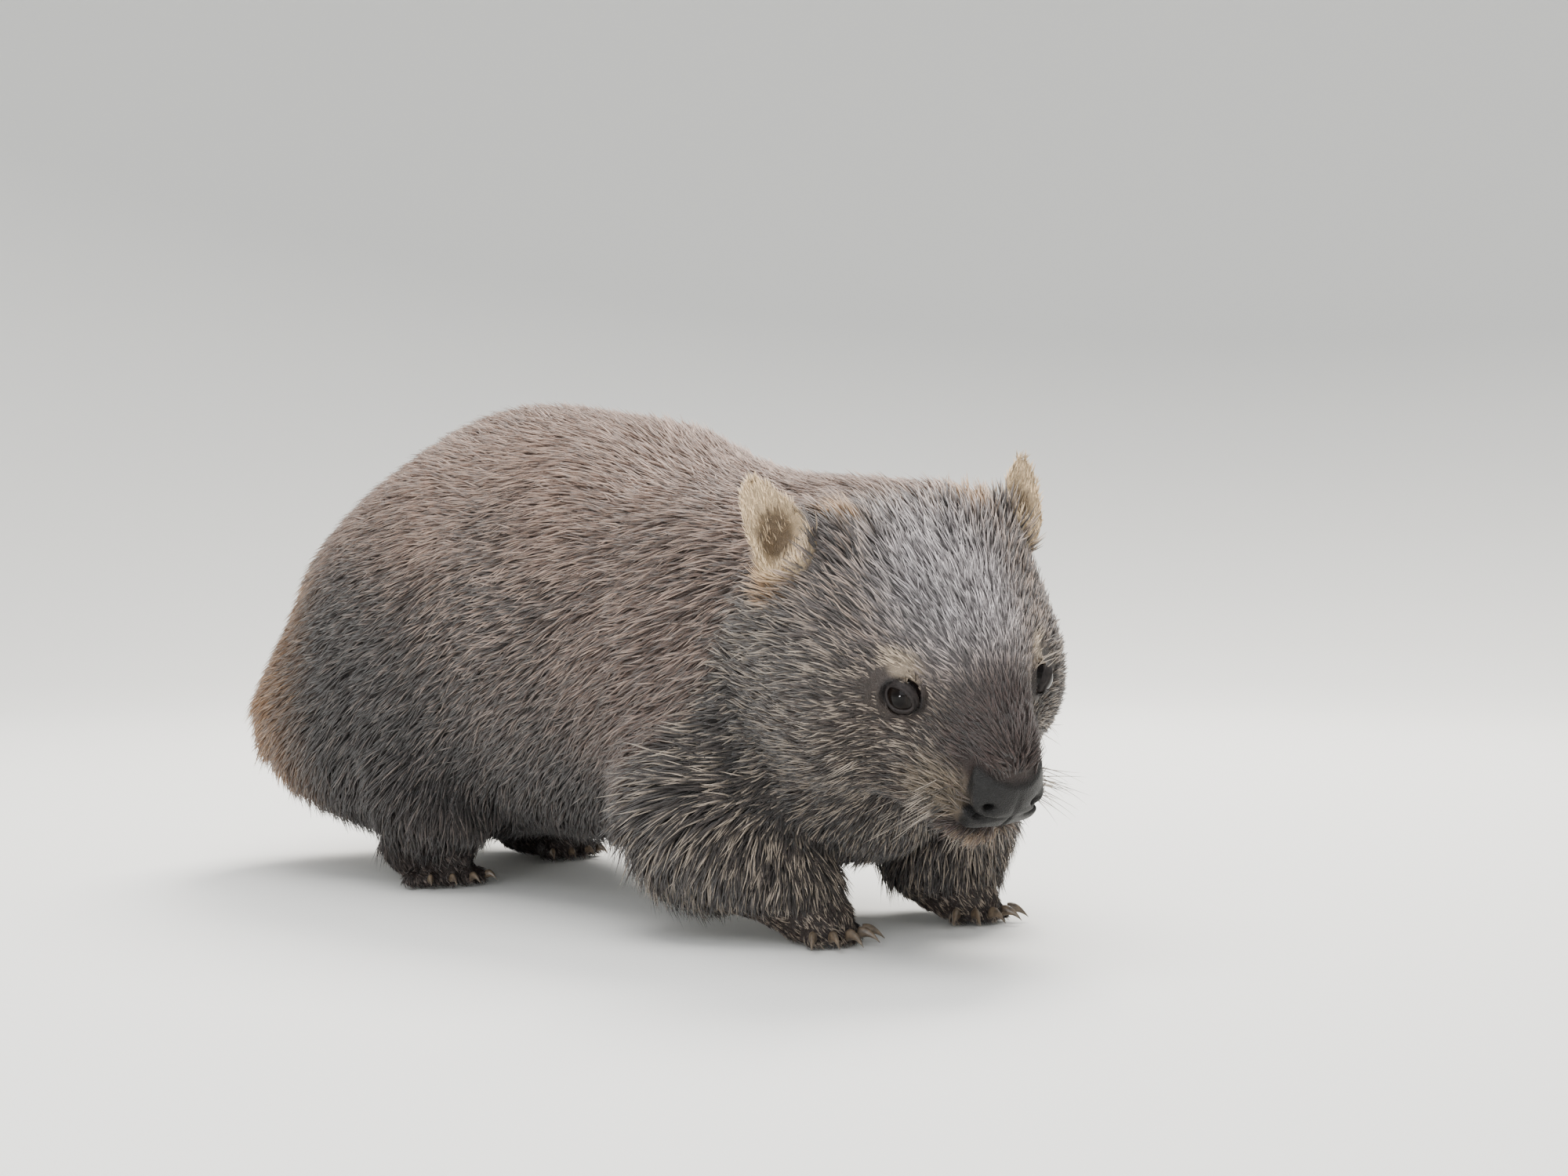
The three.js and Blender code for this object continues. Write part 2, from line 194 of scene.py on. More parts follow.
def apply_modifiers(piece):
    evaluated = piece.evaluated_get(bpy.context.evaluated_depsgraph_get())
    mesh = bpy.data.meshes.new_from_object(evaluated)
    piece.modifiers.clear()
    old = piece.data
    piece.data = mesh
    bpy.data.meshes.remove(old)
    mesh.name = piece.name


def points_of(mesh):
    co = np.empty(len(mesh.vertices) * 3)
    mesh.vertices.foreach_get("co", co)
    return co.reshape(-1, 3)


def set_points(mesh, co):
    mesh.vertices.foreach_set("co", co.ravel())
    mesh.update()


def normals_of(mesh):
    n = np.empty(len(mesh.vertices) * 3)
    mesh.vertex_normals.foreach_get("vector", n)
    return n.reshape(-1, 3)


def edges_of(mesh):
    e = np.empty(len(mesh.edges) * 2, dtype=np.int64)
    mesh.edges.foreach_get("vertices", e)
    return e.reshape(-1, 2)


def relaxed(values, edges, rounds, share=0.6, mask=None):
    """Values moved towards the mean of their neighbours."""
    count = np.bincount(edges.ravel(), minlength=len(values)).astype(float)
    for _ in range(rounds):
        total = np.stack(
            [
                np.bincount(edges[:, 0], values[edges[:, 1], k], len(values))
                + np.bincount(edges[:, 1], values[edges[:, 0], k], len(values))
                for k in range(values.shape[1])
            ],
            axis=1,
        )
        step = share * (total / np.maximum(count, 1)[:, None] - values)
        values = values + (step if mask is None else step * mask[:, None])
    return values


# Regions of the animal, each from 0 to 1, by place
FEET = [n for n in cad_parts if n.startswith(("fore_paw", "hind_foot")) and "claw" not in n]
FOOT_AT = {n: middle(n) for n in FEET}


def near_feet(points):
    best = np.zeros(len(points))
    for at in FOOT_AT.values():
        away = np.hypot(points[:, 0] - at[0], points[:, 1] - at[1])
        best = np.maximum(best, (1 - fade(away, 0.055, 0.095)) * (1 - fade(points[:, 2], 0.022, 0.038)))
    return best


# The left ear's middle and half its size, in the head's frame
EAR_AT = (-109, 90, 44)
EAR_HALF = (34, 24, 36)


def ears(points):
    """How far a point belongs to an ear."""
    q = to_head(points)
    best = np.zeros(len(points))
    for side in BOTH_SIDES:
        at = np.array(EAR_AT) * (1, side, 1)
        away = np.linalg.norm((q - at) / np.array(EAR_HALF), axis=1)
        best = np.maximum(best, 1 - fade(away, 0.8, 1.05))
    return best


def nose_pad(points):
    """The bare pad of the nose: its sides, its front and its curved top and foot."""
    q = to_head(points)
    top = -25 + 0.010 * q[:, 1] ** 2
    side = fade(26.5 - np.abs(q[:, 1]), -1.0, 2.5)
    front = fade(q[:, 0] - (49 + 0.16 * (-24 - q[:, 2])), -1.5, 1.5)
    return side * front * fade(top - q[:, 2], -7.0, -2.0) * fade(q[:, 2] + 55, -2, 1.5)


# The bare lids' half width and half height, and how far ahead they reach, in millimetres
BARE_LIDS = (10.8, 7.8, 30.0)
FAR_AWAY = 9.0


def from_eye(points):
    """How far a point is from the nearer eye: 1 on the edge of the bare lids, which are wider than tall."""
    wide, tall, deep = BARE_LIDS
    nearest = np.full(len(points), FAR_AWAY)
    for side, at in EYES.items():
        look, across, up = eye_axes(side)
        away = (points - at) / MM
        k = np.sqrt((away @ across / wide) ** 2 + (away @ up / tall) ** 2 + (away @ look / deep) ** 2)
        nearest = np.minimum(nearest, k)
    return nearest


def eye_rims(points):
    return 1 - fade(from_eye(points), 1.0, 1.4)


# How far the coat stands over the skin, in millimetres
BODY_DEPTH, FACE_DEPTH = 8.5, 3.6
FOOT_DEPTH, EAR_DEPTH, RIM_DEPTH = 2.2, 0.3, 1.2


def coat_depth(points):
    """How far the coat stands over the skin at each point, in metres."""
    q = to_head(points)
    depth = between(BODY_DEPTH, FACE_DEPTH, fade(q[:, 0], -95, 10))
    leg = 1 - fade(points[:, 2], 0.045, 0.085)
    depth = depth * (1 - 0.35 * leg)
    depth = between(depth, FOOT_DEPTH, near_feet(points))
    depth = between(depth, EAR_DEPTH, ears(points))
    depth = between(depth, RIM_DEPTH, eye_rims(points))
    depth = between(depth, 0.0, nose_pad(points))
    return depth * MM


def make_skin():
    """The skin, drawn in from the solids' surface by the coat's depth."""
    skin = joined_flesh()
    mesh = skin.data
    edges = edges_of(mesh)
    co = points_of(mesh)
    keen = np.maximum.reduce([ears(co), nose_pad(co), near_feet(co)])
    co = relaxed(co, edges, 14, mask=1 - 0.97 * keen)
    set_points(mesh, co)
    co = co - normals_of(mesh) * coat_depth(co)[:, None]
    co = relaxed(co, edges, 2, mask=1 - 0.9 * keen)
    co[:, 2] = np.maximum(co[:, 2], SKIN_LOWEST)
    set_points(mesh, co)
    refine_face(mesh)
    sculpt_face(mesh)
    mesh.shade_smooth()
    return skin


def refine_face(mesh):
    """Smaller faces on the muzzle and round the eyes, in two steps."""
    grid = bmesh.new()
    grid.from_mesh(mesh)
    for step in (1, 2):
        centres = np.array([f.calc_center_median()[:] for f in grid.faces])
        q = to_head(centres)
        muzzle = (q[:, 0] > 26 + 6 * step) & (np.abs(q[:, 1]) < 44) & (q[:, 2] > -90)
        close = np.minimum(*[np.linalg.norm(centres - at, axis=1) for at in EYES.values()])
        chosen = muzzle | (close < 0.026 - 0.004 * step)
        grid.faces.ensure_lookup_table()
        edges = {e for n in np.nonzero(chosen)[0] for e in grid.faces[n].edges}
        bmesh.ops.subdivide_edges(grid, edges=list(edges), cuts=1, use_grid_fill=True, smooth=0.0)
    bmesh.ops.triangulate(grid, faces=[f for f in grid.faces if len(f.verts) > 4])
    grid.to_mesh(mesh)
    grid.free()


# The left nostril's middle in the head's frame, how its slit slopes (across and up), and the mouth's height
NOSTRIL = (55, 22, -43)
NOSTRIL_SLOPE = (0.88, 0.47)
MOUTH_HEIGHT = -60


def nostrils(q):
    """How far the skin goes in at the nostrils, less what their wings stand out, in millimetres."""
    c, s = NOSTRIL_SLOPE
    inward = np.zeros(len(q))
    for side in BOTH_SIDES:
        d = q - np.array(NOSTRIL) * (1, side, 1)
        along = d[:, 1] * side * c + d[:, 2] * s
        across = -d[:, 1] * side * s + d[:, 2] * c
        bent = across - 0.035 * along**2
        hole = line(along, 8.5) * line(bent, 2.2) * (q[:, 0] > 34)
        wing = line(along, 9.5) * line(bent - 5.4, 3.4) * (q[:, 0] > 44)
        inward += 7.0 * hole - 1.7 * wing
    return inward


def mouth_lines(q):
    """How far the skin goes in at the lip's cleft, the groove over it and the mouth, in millimetres."""
    front = fade(q[:, 0], 34, 46)
    cleft = line(q[:, 1], 1.3) * front * fade(-q[:, 2], 40, 46) * fade(q[:, 2], -58, -54)
    groove = line(q[:, 1], 2.2) * front * fade(-q[:, 2], 22, 32) * fade(q[:, 2], -44, -38)
    mouth_at = MOUTH_HEIGHT + 0.006 * np.abs(q[:, 1]) ** 1.7 - 0.05 * (q[:, 0] - 50)
    mouth = line(q[:, 2] - mouth_at, 1.5) * fade(q[:, 0], 24, 30) * (q[:, 2] < -45)
    return 1.6 * cleft + 0.9 * groove + 3.4 * mouth


def with_sockets(co):
    """The points, sunk under each pair of lids and lifted in a band round them."""
    for side, at in EYES.items():
        look = eye_look(side)
        away = co - at
        ahead = away @ look
        wide = np.linalg.norm(away - ahead[:, None] * look, axis=1) / MM
        sink = (1 - fade(wide, 9.0, 13.0)) * (ahead > 0)
        floor = np.where(wide < 8, 2.5, 5.5) * MM
        co = co - np.outer(np.maximum(ahead - floor, 0) * sink, look)
        band = fade(wide, 6, 9) * (1 - fade(wide, 11, 14)) * (ahead > -7 * MM)
        co = co + np.outer(np.clip(1.0 * MM - ahead, 0, 4 * MM) * band, look)
    return co


def sculpt_face(mesh):
    """Nostrils, lips, mouth and sockets, as moves of the skin's points."""
    co = points_of(mesh)
    q = to_head(co)
    muzzle = (q[:, 0] > 20) & (np.abs(q[:, 1]) < 50)
    co = relaxed(co, edges_of(mesh), 5, mask=muzzle.astype(float))
    set_points(mesh, co)
    q = to_head(co)
    inward = nostrils(q) + mouth_lines(q)
    co = co - normals_of(mesh) * inward[:, None] * MM
    set_points(mesh, with_sockets(co))


# The way each eye looks, in the head's frame
EYE_LOOK = {"right": (0.50, -0.80, 0.22), "left": (0.50, 0.80, 0.22)}


def eye_look(side):
    return unit(head_way(EYE_LOOK[side]))[0]


# The lie of the coat
def lie_of(points, normals):
    """The way the hair lies: back along the body and down its sides, from the nose over the head."""
    q = to_head(points)
    side = np.sign(points[:, 1])
    ones = np.ones(len(points))

    flank = np.clip(np.abs(points[:, 1]) / 0.13, 0, 1)
    low = 1 - fade(points[:, 2], 0.05, 0.20)
    body = np.stack([-ones, 0.10 * side * flank, -0.55 * flank - 0.5 * low], axis=1)
    body[:, 2] -= 0.9 * fade(-points[:, 0], 0.26, 0.40)
    body += waves(points, 0.11, 5)[:, None] * np.array([0.0, 0.10, 0.16])

    cheek = fade(np.abs(q[:, 1]), 25, 75) * (1 - fade(q[:, 2], -10, 35))
    face = np.stack([-ones, 0.62 * (q[:, 1] / 90), 0.10 - 0.55 * cheek], axis=1)
    face[:, 2] -= 0.6 * (1 - fade(q[:, 2], -78, -52))
    on_head = fade(q[:, 0], -135, -95)
    way = mix(unit(body), unit(head_way(face)), on_head)

    chest = fade(points[:, 0], 0.17, 0.23) * (1 - fade(points[:, 2], 0.10, 0.14)) * (1 - on_head)
    leg = 1 - fade(points[:, 2], 0.045, 0.11)
    ear_up = np.where(side[:, None] > 0, head_way((-0.6, 0.3, 0.75)), head_way((-0.6, -0.3, 0.75)))
    way = mix(way, (0.1, 0, -1.0), chest)
    way = mix(way, (-0.15, 0, -1.0), leg)
    way = mix(way, (0.8, 0, -0.55), near_feet(points))
    way = mix(way, ear_up, ears(points))
    return unit(way - normals * (way * normals).sum(1, keepdims=True))


# Colours of the coat by place
# The top of the back: partly the coat's own paler colour, partly painted highlight from the light above
BACK_AND_HIGHLIGHT = linear(140, 115, 102)
FLANK = linear(70, 58, 53)
HAUNCH = linear(38, 32, 31)
UNDER = linear(46, 40, 38)
SHOULDER = linear(100, 81, 72)
FOREHEAD = linear(100, 92, 90)
# The forehead's bright middle: pale silver hair, partly painted highlight from above
SILVER_AND_HIGHLIGHT = linear(122, 116, 118)
CHEEK = linear(62, 53, 48)
MUZZLE = linear(50, 38, 35)
PAD = linear(116, 103, 86)
CHIN = linear(150, 128, 104)
BROW = linear(182, 164, 142)
# The ears' cream rims: partly the hair's own colour, partly painted warm light on the rims
EAR_EDGE_AND_RIM_LIGHT = linear(228, 200, 160)
EAR_HOLLOW = linear(82, 62, 43)
EAR_PATCH = linear(176, 142, 108)
CHARCOAL = linear(58, 50, 48)
FRINGE = linear(146, 110, 80)
CHEST = linear(78, 70, 66)
FOOT = linear(50, 40, 36)
NOSE = linear(13, 12, 12)
LIPS = linear(28, 22, 21)
RIMS = linear(20, 17, 17)

# Colours of the pale tips by place
TIP = linear(194, 167, 150)
# The forehead's pale tips: partly painted highlight from above
TIP_FOREHEAD = linear(212, 207, 210)
TIP_CHEEK = linear(188, 172, 154)
TIP_LOW = linear(120, 108, 101)
TIP_FRINGE = linear(204, 164, 122)


def silver_and_highlight(q):
    """The bright middle of the forehead: pale silver hair, partly painted highlight from above. This and the
    next few take points of the head's frame.
    """
    return spot(q, (-40, -4, 38), (82, 60, 66))


def dark_patches(q):
    """Charcoal hair at the inner foot of each ear."""
    return twin_spots(q, (-88, 62, 50), (28, 19, 22))


def tan_patches(q):
    """Warm hair inside the charcoal, and under each ear."""
    return twin_spots(q, (-102, 45, 58), (24, 16, 20)) + twin_spots(q, (-98, 85, 14), (22, 20, 22))


def brows(q):
    """The pale patch over each eye."""
    return twin_spots(q, (-7, 47, 13), (18, 14, 9))


def head_share(q):
    """1 on the head and 0 on the body."""
    return fade(q[:, 0], -125, -100)


def upper_face(q):
    """1 above the eyes and 0 below them."""
    return fade(q[:, 2] + 0.1 * q[:, 0], -8, 22)


def haunches(points):
    """The dark side of each haunch."""
    return twin_spots(points, (-0.20, 0.12, 0.13), (0.21, 0.12, 0.15))


def rear_edge(points):
    """The warm fringe down the back of the rump."""
    back = 0.8 * -points[:, 0] + 0.6 * np.abs(points[:, 1])
    height = points[:, 2] + 0.01 * waves(points, 0.05, 13)
    return fade(back, 0.235, 0.33) * fade(height, 0.02, 0.07) * (1 - fade(height, 0.20, 0.33))


def body_colour(points):
    x, z = points[:, 0], points[:, 2]
    height = z + 0.012 * waves(points, 0.09, 11) + 0.006 * waves(points, 0.03, 12)
    colour = np.tile(FLANK, (len(points), 1))
    # Paler towards the top of the back: partly the coat's colour, partly painted highlight from above
    colour = mix(colour, BACK_AND_HIGHLIGHT, fade(height, 0.20, 0.31))
    colour = mix(colour, UNDER, 0.85 * (1 - fade(height, 0.09, 0.17)))
    colour = mix(colour, HAUNCH, 0.9 * haunches(points))
    colour = mix(colour, SHOULDER, 0.7 * twin_spots(points, (0.14, 0.11, 0.16), (0.11, 0.08, 0.12)))
    colour = mix(colour, FRINGE, 0.8 * rear_edge(points))
    chest = fade(x, 0.12, 0.2) * (1 - fade(z, 0.08, 0.13))
    return mix(colour, CHEST, 0.8 * chest)


def face_colour(q):
    face = np.tile(CHEEK, (len(q), 1))
    face = mix(face, FOREHEAD, 0.6 * upper_face(q))
    # Painted highlight, with pale silver hair, on the middle of the forehead
    face = mix(face, SILVER_AND_HIGHLIGHT, 0.75 * silver_and_highlight(q))
    face = mix(face, CHARCOAL, 0.92 * dark_patches(q))
    face = mix(face, EAR_PATCH, 0.88 * tan_patches(q))
    face = mix(face, UNDER, 0.75 * (1 - fade(q[:, 2], -70, -35)))
    bridge = fade(q[:, 0], 0, 34) * (1 - fade(np.abs(q[:, 1]), 24, 46))
    face = mix(face, MUZZLE, 0.9 * bridge)
    face = mix(face, BROW, 0.9 * brows(q))
    face = mix(face, PAD, 0.85 * twin_spots(q, (42, 34, -40), (28, 20, 24)))
    chin = fade(q[:, 0], 22, 36) * (1 - fade(q[:, 2], -64, -59))
    return mix(face, CHIN, 0.8 * chin)


# The ears: cream rims, partly painted warm rim light, round a darker hollow
def ear_colour(q):
    hollow = twin_spots(q, (-104, 88, 44), (17, 15, 25))
    return mix(np.tile(EAR_EDGE_AND_RIM_LIGHT, (len(q), 1)), EAR_HOLLOW, np.clip(1.3 * hollow, 0, 0.85))


def coat_colour(points):
    """The coat's own colour at each point, half way along the hair."""
    q = to_head(points)
    face = mix(face_colour(q), CHARCOAL, 0.9 * eye_rims(points))
    colour = mix(body_colour(points), face, head_share(q))
    colour = mix(colour, ear_colour(q), ears(points))
    colour = mix(colour, FOOT, 0.9 * near_feet(points))
    return np.clip(colour, 0.003, 1)


def tip_colour(points):
    """The colour of a pale tip at each point."""
    q = to_head(points)
    tip = np.tile(TIP, (len(points), 1))
    tip = mix(tip, TIP_LOW, np.maximum(1 - fade(points[:, 2], 0.08, 0.22), haunches(points)))
    tip = mix(tip, TIP_FRINGE, rear_edge(points))
    face = mix(np.tile(TIP_CHEEK, (len(points), 1)), TIP, 0.7 * upper_face(q))
    # Pale forehead tips, partly painted highlight
    face = mix(face, TIP_FOREHEAD, 0.85 * silver_and_highlight(q))
    face = mix(face, CHARCOAL * 1.8, 0.9 * dark_patches(q))
    face = mix(face, EAR_PATCH * 1.4, 0.9 * tan_patches(q))
    face = mix(face, BROW * 1.3, brows(q))
    face = mix(face, MUZZLE * 1.8, fade(q[:, 0], 4, 30) * (1 - fade(np.abs(q[:, 1]), 22, 40)))
    # On the ears the tips take the rim colour, partly painted warm light
    return mix(mix(tip, face, head_share(q)), EAR_EDGE_AND_RIM_LIGHT, ears(points))


# The map: a chart for the body, and one for each foot and each ear
def skin_chart(points):
    """Where each point lies on an unwrap of the animal: along its length and round it."""
    q = to_head(points)
    low, high = (np.array(c) for c in CAD_BOX)
    along = (points[:, 0] - low[0]) / (high[0] - low[0])
    axis_z = np.interp(points[:, 0], [low[0], 0.05, 0.25, high[0]], [0.17, 0.18, 0.16, 0.10])
    axis_y = np.interp(points[:, 0], [low[0], 0.05, high[0]], [0, 0, -0.03])
    round_ = np.arctan2(points[:, 1] - axis_y, points[:, 2] - axis_z) / (2 * math.pi) + 0.5
    u, v = 0.02 + 0.96 * along, 0.02 + 0.56 * round_
    for n, at in enumerate(FOOT_AT.values()):
        own = (points[:, 2] < 0.045) & (np.hypot(points[:, 0] - at[0], points[:, 1] - at[1]) < 0.10)
        angle = np.arctan2(points[:, 1] - at[1], points[:, 0] - at[0]) / (2 * math.pi) + 0.5
        u = np.where(own, 0.03 + 0.245 * n + 0.20 * angle, u)
        v = np.where(own, 0.62 + 0.14 * points[:, 2] / 0.045, v)
    for n, side in enumerate(BOTH_SIDES):
        own = (ears(points) > 0.5) & (q[:, 1] * side > 0)
        u = np.where(own, 0.10 + 0.45 * n + 0.3 * np.clip((q[:, 0] + 150) / 90, 0, 1), u)
        v = np.where(own, 0.80 + 0.16 * np.clip((q[:, 2] + 20) / 110, 0, 1), v)
    return np.stack([u, v], axis=1)


def set_map(mesh, uv_of_vertex):
    loops = np.empty(len(mesh.loops), dtype=np.int64)
    mesh.loops.foreach_get("vertex_index", loops)
    layer = mesh.uv_layers.new(name="OFBake")
    layer.data.foreach_set("uv", uv_of_vertex[loops].astype(np.float32).ravel())


def set_colour(mesh, name, colour):
    layer = mesh.attributes.new(name, "FLOAT_COLOR", "POINT")
    rgba = np.concatenate([colour, np.ones((len(colour), 1))], axis=1)
    layer.data.foreach_set("color", rgba.astype(np.float32).ravel())


def set_value(mesh, name, values):
    layer = mesh.attributes.new(name, "FLOAT", "POINT")
    layer.data.foreach_set("value", values.astype(np.float32))


# Materials
class Nodes:
    """A short way to build a material's nodes."""

    def __init__(self, name):
        self.material = bpy.data.materials.new(name)
        self.material.use_nodes = True
        self.tree = self.material.node_tree
        self.shader = self.tree.nodes["Principled BSDF"]

    def add(self, kind, **values):
        node = self.tree.nodes.new(kind)
        for key, value in values.items():
            setattr(node, key, value)
        return node

    def link(self, a, b):
        self.tree.links.new(a, b)

    def set(self, **sockets):
        for name, value in sockets.items():
            self.shader.inputs[name.replace("_", " ")].default_value = value

    def attribute(self, name):
        return self.add("ShaderNodeAttribute", attribute_name=name)

    def noise(self, scale, detail=3.0, rough=0.6):
        coords = self.add("ShaderNodeTexCoord")
        noise = self.add("ShaderNodeTexNoise")
        noise.inputs["Scale"].default_value = scale
        noise.inputs["Detail"].default_value = detail
        noise.inputs["Roughness"].default_value = rough
        self.link(coords.outputs["Object"], noise.inputs["Vector"])
        return noise

    def ramp(self, source, stops):
        ramp = self.add("ShaderNodeValToRGB")
        while len(ramp.color_ramp.elements) < len(stops):
            ramp.color_ramp.elements.new(0.5)
        for element, (place, value) in zip(ramp.color_ramp.elements, stops):
            element.position = place
            element.color = (*value, 1) if hasattr(value, "__len__") else (value, value, value, 1)
        self.link(source, ramp.inputs["Fac"])
        return ramp

    def tinted(self, scale, detail, low, high):
        """Base colour: the vertex colour, between two strengths by a noise."""
        tint = self.attribute("tint")
        tone = self.ramp(self.noise(scale, detail).outputs["Fac"], [(0.3, low), (0.7, high)])
        mixer = self.add("ShaderNodeMix", data_type="RGBA", blend_type="MULTIPLY")
        mixer.inputs["Factor"].default_value = 1.0
        self.link(tint.outputs["Color"], mixer.inputs[6])
        self.link(tone.outputs["Color"], mixer.inputs[7])
        self.link(mixer.outputs[2], self.shader.inputs["Base Color"])

    def grained(self, grain, dark, pale, low=0.3, high=0.7):
        """Base colour: from dark to pale by a noise."""
        stops = [(low, tuple(linear(*dark))), (high, tuple(linear(*pale)))]
        colour = self.ramp(grain.outputs["Fac"], stops)
        self.link(colour.outputs["Color"], self.shader.inputs["Base Color"])

    def bump(self, height, strength, distance):
        bump = self.add("ShaderNodeBump")
        bump.inputs["Strength"].default_value = strength
        bump.inputs["Distance"].default_value = distance
        self.link(height, bump.inputs["Height"])
        self.link(bump.outputs["Normal"], self.shader.inputs["Normal"])


def coat_material():
    """Hair: the vertex colour, which runs along each tuft from root to tip, with fine streaks."""
    m = Nodes("coat")
    m.tinted(900.0, 2.0, 0.8, 1.2)
    m.set(Roughness=0.62, Sheen_Weight=0.12, Sheen_Roughness=0.45, Specular_IOR_Level=0.35)
    return m.material


def skin_material():
    """Skin under the coat, bare and pebbled on the nose and rims."""
    m = Nodes("skin")
    m.tinted(260.0, 4.0, 0.62, 1.1)
    coords = m.add("ShaderNodeTexCoord")
    cells = m.add("ShaderNodeTexVoronoi", feature="DISTANCE_TO_EDGE")
    cells.inputs["Scale"].default_value = 720.0
    m.link(coords.outputs["Object"], cells.inputs["Vector"])
    pebble = m.ramp(cells.outputs["Distance"], [(0.0, 0.0), (0.25, 1.0)])
    m.bump(pebble.outputs["Color"], 0.5, 0.0006)
    m.set(Roughness=0.5, Specular_IOR_Level=0.28)
    return m.material


def eye_material():
    """A nearly black eye with a hint of brown round the pupil, wet all over."""
    m = Nodes("eye")
    iris = m.attribute("iris")
    stops = [
        (0.0, (0.001, 0.001, 0.001)),
        (0.42, (0.002, 0.001, 0.001)),
        (0.55, (0.006, 0.004, 0.003)),
        (1.0, (0.003, 0.002, 0.002)),
    ]
    colour = m.ramp(iris.outputs["Fac"], stops)
    m.link(colour.outputs["Color"], m.shader.inputs["Base Color"])
    m.set(Roughness=0.03, Specular_IOR_Level=0.15)
    return m.material


def horn_material():
    m = Nodes("horn")
    grain = m.noise(340.0, 3.0)
    m.grained(grain, (58, 50, 42), (104, 90, 74))
    m.bump(grain.outputs["Fac"], 0.25, 0.0004)
    m.set(Roughness=0.42)
    return m.material


def lid_material():
    m = Nodes("lid")
    grain = m.noise(520.0, 4.0)
    m.grained(grain, (20, 17, 17), (42, 37, 36))
    m.bump(grain.outputs["Fac"], 0.5, 0.0005)
    m.set(Roughness=0.62, Specular_IOR_Level=0.2)
    return m.material


def whisker_material():
    m = Nodes("whisker")
    m.grained(m.noise(70.0, 1.0), (22, 18, 16), (168, 156, 142), low=0.4, high=0.62)
    m.set(Roughness=0.4)
    return m.material


MATERIALS = {
    "coat": coat_material(),
    "skin": skin_material(),
    "eye": eye_material(),
    "horn": horn_material(),
    "lid": lid_material(),
    "whisker": whisker_material(),
}


def new_piece(name, vertices, faces, material):
    mesh = bpy.data.meshes.new(name)
    mesh.from_pydata([tuple(v) for v in vertices], [], faces)
    mesh.update()
    return place_piece(name, mesh, material)


def place_piece(name, mesh, material):
    mesh.shade_smooth()
    mesh.materials.append(MATERIALS[material])
    piece = bpy.data.objects.new(name, mesh)
    bpy.context.scene.collection.objects.link(piece)
    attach(piece, "root")
    return piece


def ring_faces(rings, around, start=0):
    """Quads between closed rings of points, from one ring to the next."""
    faces = []
    for i in range(rings):
        for j in range(around):
            a = start + i * around + j
            b = start + i * around + (j + 1) % around
            faces.append((a, b, b + around, a + around))
    return faces


def turned(faces):
    """The same quads, facing the other way."""
    return [(a, d, c, b) for a, b, c, d in faces]


def fix_normals(piece, weld=0.0):
    """Normals outward, after joining the points that lie closer than the weld."""
    mesh = bmesh.new()
    mesh.from_mesh(piece.data)
    if weld:
        bmesh.ops.remove_doubles(mesh, verts=mesh.verts, dist=weld)
    bmesh.ops.recalc_face_normals(mesh, faces=mesh.faces)
    mesh.to_mesh(piece.data)
    mesh.free()
    piece.data.shade_smooth()


# Tufts: each a flat spike of three sides, bent at its middle (the knee) and drawn to a point
TUFT_CORNERS = np.array([[-1.0, 0.0], [0.0, 0.62], [1.0, 0.0]])
TUFT_FACES = np.array(
    [
        [0, 1, 4], [0, 4, 3],
        [1, 2, 5], [1, 5, 4],
        [2, 0, 3], [2, 3, 5],
        [3, 4, 6], [4, 5, 6], [5, 3, 6],
        [2, 1, 0],
    ]
)
TUFT_POINTS = 7
TUFT_SUNK = 0.0012
KNEE_WIDTH, KNEE_THICKNESS = 0.42, 0.34

# Where a tuft's points lie round its root on the map, and how far
TUFT_MAP = np.array([[-0.5, -0.5], [0, -0.4], [0.5, -0.5], [-0.4, 0.1], [0, 0.15], [0.4, 0.1], [0, 0.5]])
TUFT_MAP_SIZE = 0.003


def tufts(name, roots, normals, ways, length, width, lift, curl, tint):
    """A piece of coat: one tuft at each root, risen by its lift and bent down again by its curl."""
    count = len(roots)
    across = np.cross(normals, ways)
    rise = np.sin(lift)[:, None]
    run = np.cos(lift)[:, None]
    first = unit(ways * run + normals * rise)
    bent = lift - curl
    second = unit(ways * np.cos(bent)[:, None] + normals * np.sin(bent)[:, None])
    base = roots - normals * TUFT_SUNK
    knee = base + first * (0.5 * length)[:, None]
    tip = knee + second * (0.5 * length)[:, None]
    out = np.cross(first, across)
    out = np.where((out * normals).sum(1, keepdims=True) < 0, -out, out)
    vertices = np.empty((count, TUFT_POINTS, 3))
    for k, (side, up) in enumerate(TUFT_CORNERS):
        vertices[:, k] = base + across * (side * width / 2)[:, None] + out * (up * width / 2)[:, None]
        sideways = across * (side * width * KNEE_WIDTH)[:, None]
        vertices[:, k + 3] = knee + sideways + out * (up * width * KNEE_THICKNESS)[:, None]
    vertices[:, 6] = tip
    vertices[:, :, 2] = np.maximum(vertices[:, :, 2], HAIR_LOWEST)
    faces = (TUFT_FACES[None] + TUFT_POINTS * np.arange(count)[:, None, None]).reshape(-1, 3)
    mesh = bpy.data.meshes.new(name)
    mesh.vertices.add(count * TUFT_POINTS)
    mesh.vertices.foreach_set("co", vertices.astype(np.float32).ravel())
    mesh.loops.add(len(faces) * 3)
    mesh.loops.foreach_set("vertex_index", faces.astype(np.int32).ravel())
    mesh.polygons.add(len(faces))
    mesh.polygons.foreach_set("loop_start", np.arange(0, len(faces) * 3, 3, dtype=np.int32))
    mesh.update(calc_edges=True)
    mesh.validate()
    set_map(mesh, (skin_chart(roots)[:, None] + TUFT_MAP[None] * TUFT_MAP_SIZE).reshape(-1, 2))
    set_colour(mesh, "tint", tint.reshape(-1, 3))
    place_piece(name, mesh, "coat")


